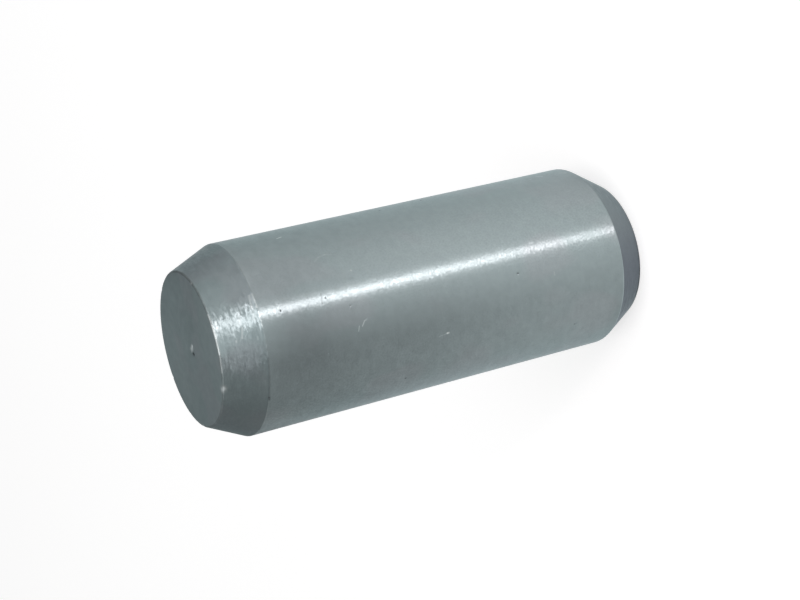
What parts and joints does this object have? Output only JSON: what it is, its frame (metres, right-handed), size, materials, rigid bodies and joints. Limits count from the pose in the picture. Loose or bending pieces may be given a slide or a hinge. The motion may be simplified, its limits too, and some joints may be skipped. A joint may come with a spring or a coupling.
{
  "type": "dowel pin",
  "caption": "Solid ground steel pin with a lead-in chamfer on each end, pressed into a reamed hole to hold mating parts in line.",
  "frame": {"origin": "centre of the lower end face, on the pin's axis, where the pin stands", "axes": "+Z along the pin's axis from the lower end, which has the shorter and steeper chamfer, to the upper end; X and Y lie in the lower end face"},
  "size_m": [0.012, 0.012, 0.03],
  "materials": {
    "steel": "bare steel, ground round the shank and fine-turned on the chamfers and end faces"
  },
  "bodies": {
    "root": {"dowel_pin": "steel"}
  },
  "joints": []
}
